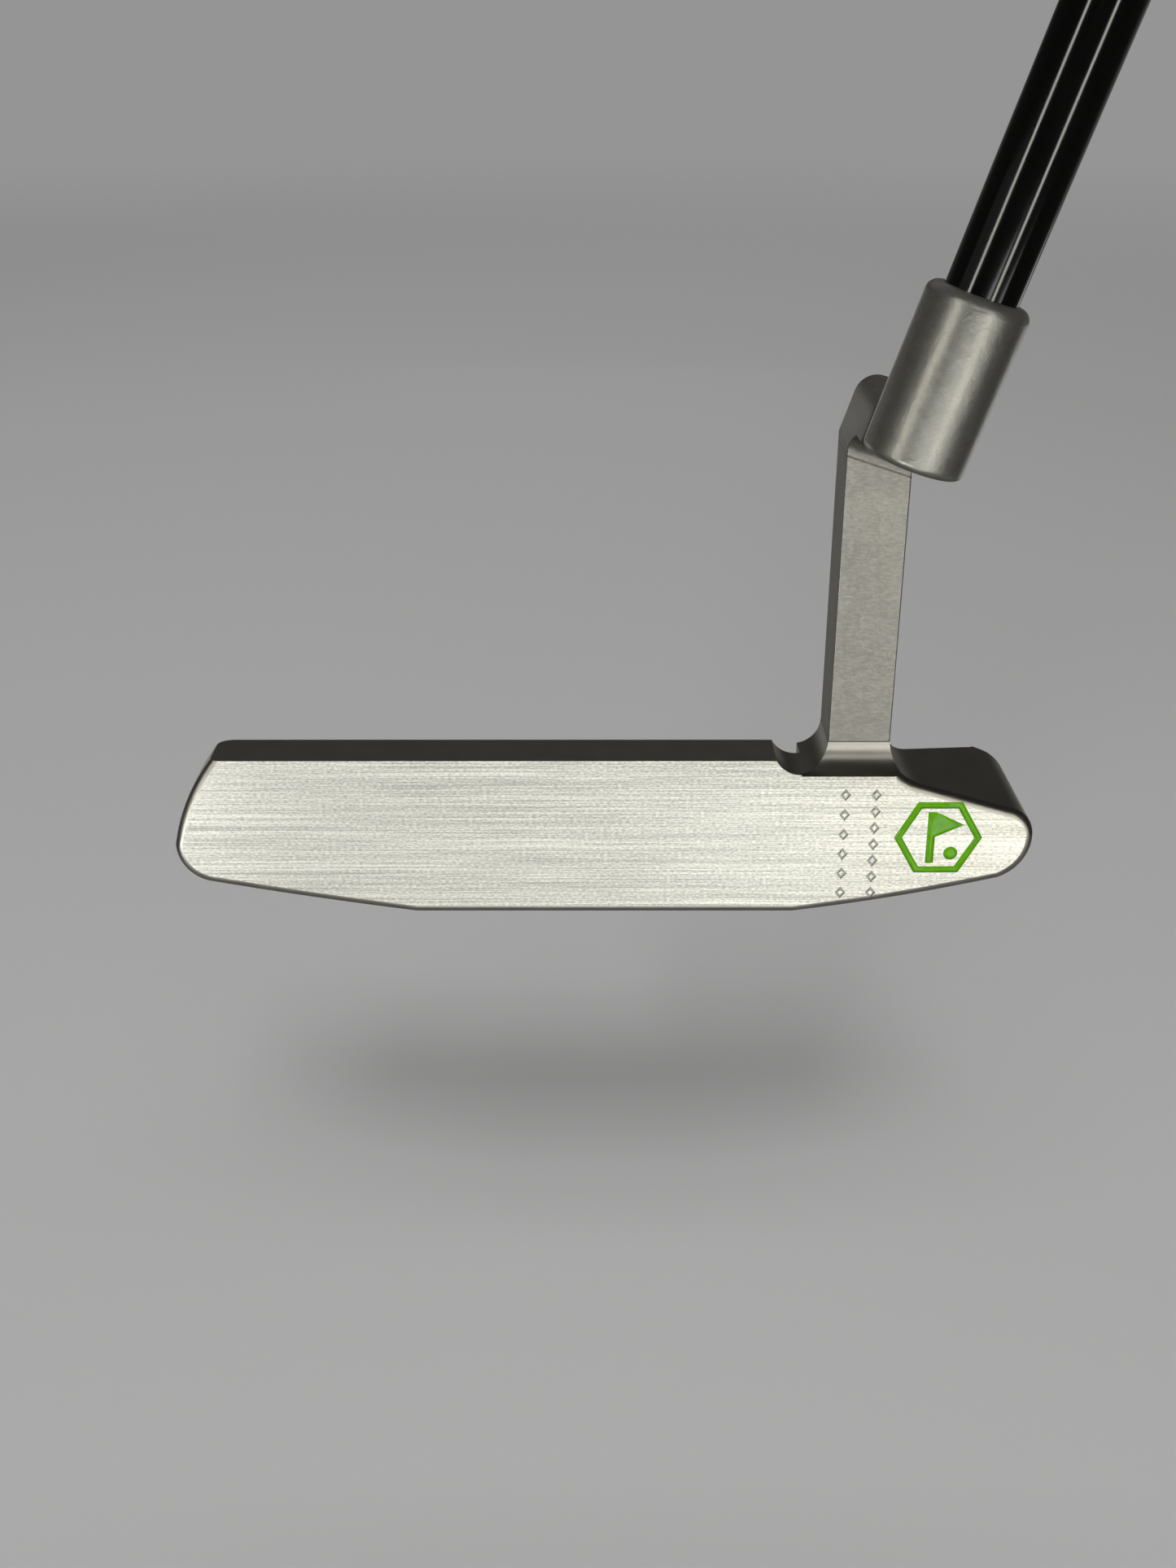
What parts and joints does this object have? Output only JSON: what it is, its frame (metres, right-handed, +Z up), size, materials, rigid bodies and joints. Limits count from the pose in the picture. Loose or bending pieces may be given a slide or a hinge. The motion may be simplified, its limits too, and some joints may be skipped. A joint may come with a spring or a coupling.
{
  "type": "blade putter",
  "caption": "Right-handed heel-toe weighted blade putter with a milled steel head, offset plumber's neck, straight black tubular shaft and a pistol grip.",
  "frame": {"origin": "middle of the flat of the sole", "axes": "+Z up out of the sole, +X from toe to heel, +Y from the striking face to the back"},
  "size_m": [0.3639, 0.0421, 0.8225],
  "materials": {
    "milled_steel": "fine horizontal brushed grain on the face, milled on the back and sole",
    "blasted_steel": "fine bead-blasted satin",
    "face_paint": "glossy filled enamel",
    "black_shaft": "high-gloss black coating over a polished tube",
    "joint_metal": "dull solder and weld metal",
    "adhesive": "cured epoxy",
    "cork": "fine cork",
    "grip_rubber": "moulded matt rubber with fine texture",
    "tape": "double-sided paper tape"
  },
  "bodies": {
    "root": {"blade_head": "milled_steel", "neck_post": "blasted_steel", "hosel_sleeve": "blasted_steel", "neck_braze": "joint_metal", "hosel_weld": "joint_metal", "shaft": "black_shaft", "shaft_epoxy": "adhesive", "shaft_tip_plug": "cork", "grip_tape": "tape", "grip": "grip_rubber", "grip_cap": "grip_rubber", "face_paint_frame": "face_paint", "face_paint_flag": "face_paint", "face_paint_ball": "face_paint", "sight_line_paint": "face_paint"}
  },
  "joints": []
}
